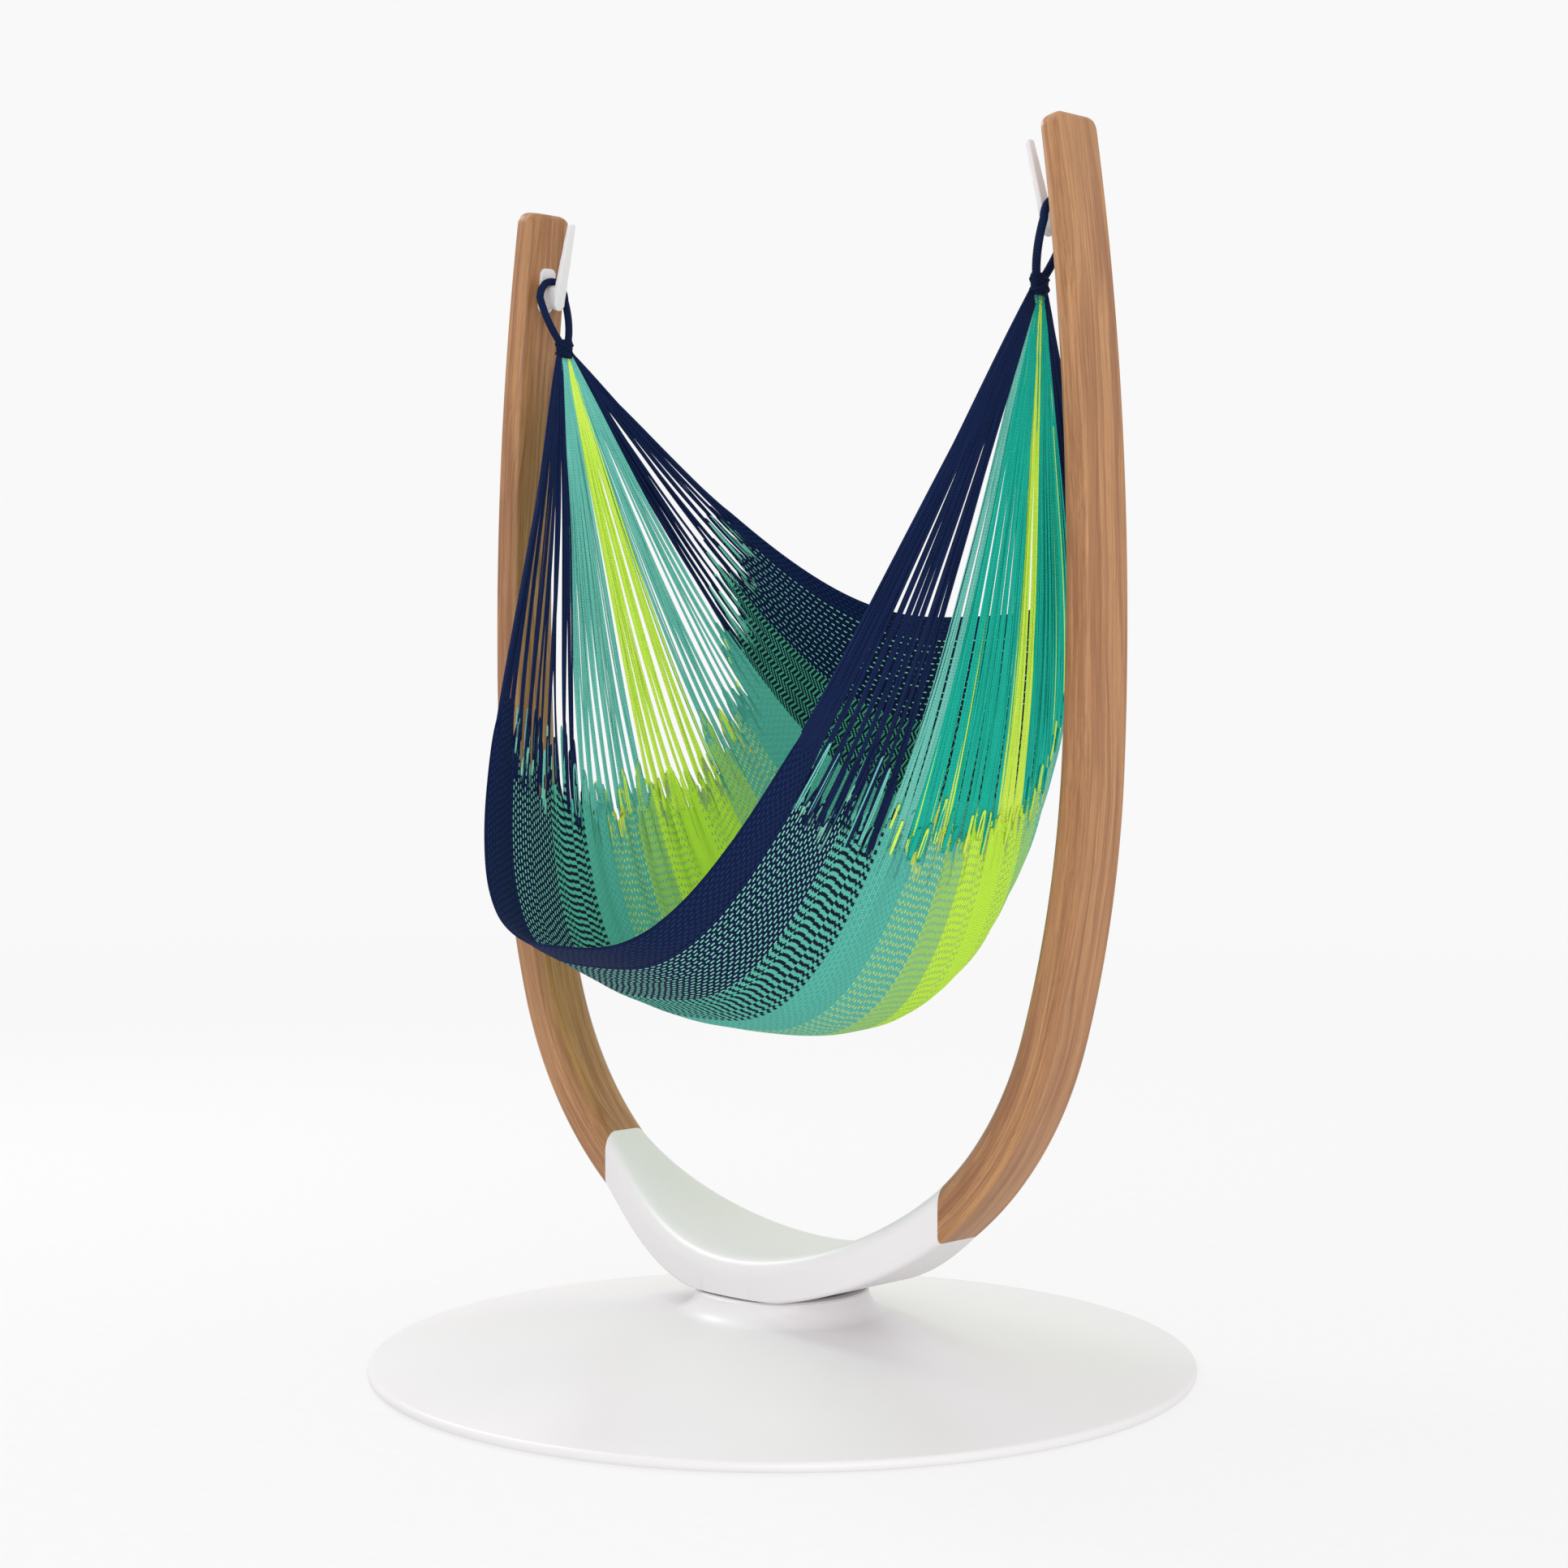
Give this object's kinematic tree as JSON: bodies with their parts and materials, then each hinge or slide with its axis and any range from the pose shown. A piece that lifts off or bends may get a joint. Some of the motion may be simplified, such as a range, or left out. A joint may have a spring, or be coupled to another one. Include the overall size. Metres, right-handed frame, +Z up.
{
  "type": "hammock on stand",
  "caption": "Net hammock slung from two white hooks on a curved wooden U-frame that turns on a round white base.",
  "frame": {"origin": "on the floor, at the middle of the round base", "axes": "+Z up; +X towards the right arm; -Y towards the low front edge of the hammock, the side a sitter gets in from"},
  "size_m": [1.22, 1.22, 1.7645],
  "materials": {
    "white_paint": "satin white powder coat",
    "steel": "zinc plated",
    "bronze": "sintered bronze",
    "rubber": "matte",
    "wood": "satin oiled hardwood",
    "navy_rope": "close-wrapped rope",
    "navy_yarn": "twisted yarn",
    "teal_yarn": "twisted yarn",
    "lime_yarn": "twisted yarn",
    "woven_cloth": "striped net weave"
  },
  "bodies": {
    "base": {"base_shell": "white_paint", "ballast_plate": "steel", "floor_pads": "rubber", "base_screws": "steel", "bearing_lower_race": "steel", "bearing_balls": "steel", "lower_race_screws": "steel", "upper_bush": "bronze", "lower_bush": "bronze"},
    "turning_frame": {"bearing_upper_race": "steel", "upper_race_screws": "steel", "spindle": "steel", "spindle_bolts": "steel", "retaining_washer": "steel", "lock_nut": "steel", "saddle": "white_paint", "left_tongue": "steel", "right_tongue": "steel", "left_joint_bolts": "steel", "right_joint_bolts": "steel", "left_arm": "wood", "right_arm": "wood", "left_hook": "white_paint", "right_hook": "white_paint", "left_hook_studs": "steel", "right_hook_studs": "steel"},
    "hammock": {"left_rope_loop": "navy_rope", "right_rope_loop": "navy_rope", "left_whipping": "navy_rope", "right_whipping": "navy_rope", "left_front_strings": "navy_yarn", "left_seat_strings": "lime_yarn", "left_back_strings": "teal_yarn", "right_front_strings": "navy_yarn", "right_seat_strings": "lime_yarn", "right_back_strings": "teal_yarn", "woven_bed": "woven_cloth", "front_selvage": "navy_yarn", "back_selvage": "navy_yarn"}
  },
  "joints": [
    {"name": "swivel", "type": "hinge", "parent": "base", "child": "turning_frame", "pos_m": [0, 0, 0.1185], "axis": [0, 0, 1], "continuous": true},
    {"name": "swing", "type": "hinge", "parent": "turning_frame", "child": "hammock", "pos_m": [0, 0, 1.638], "axis": [1, 0, 0], "range_deg": [-20, 20]}
  ]
}
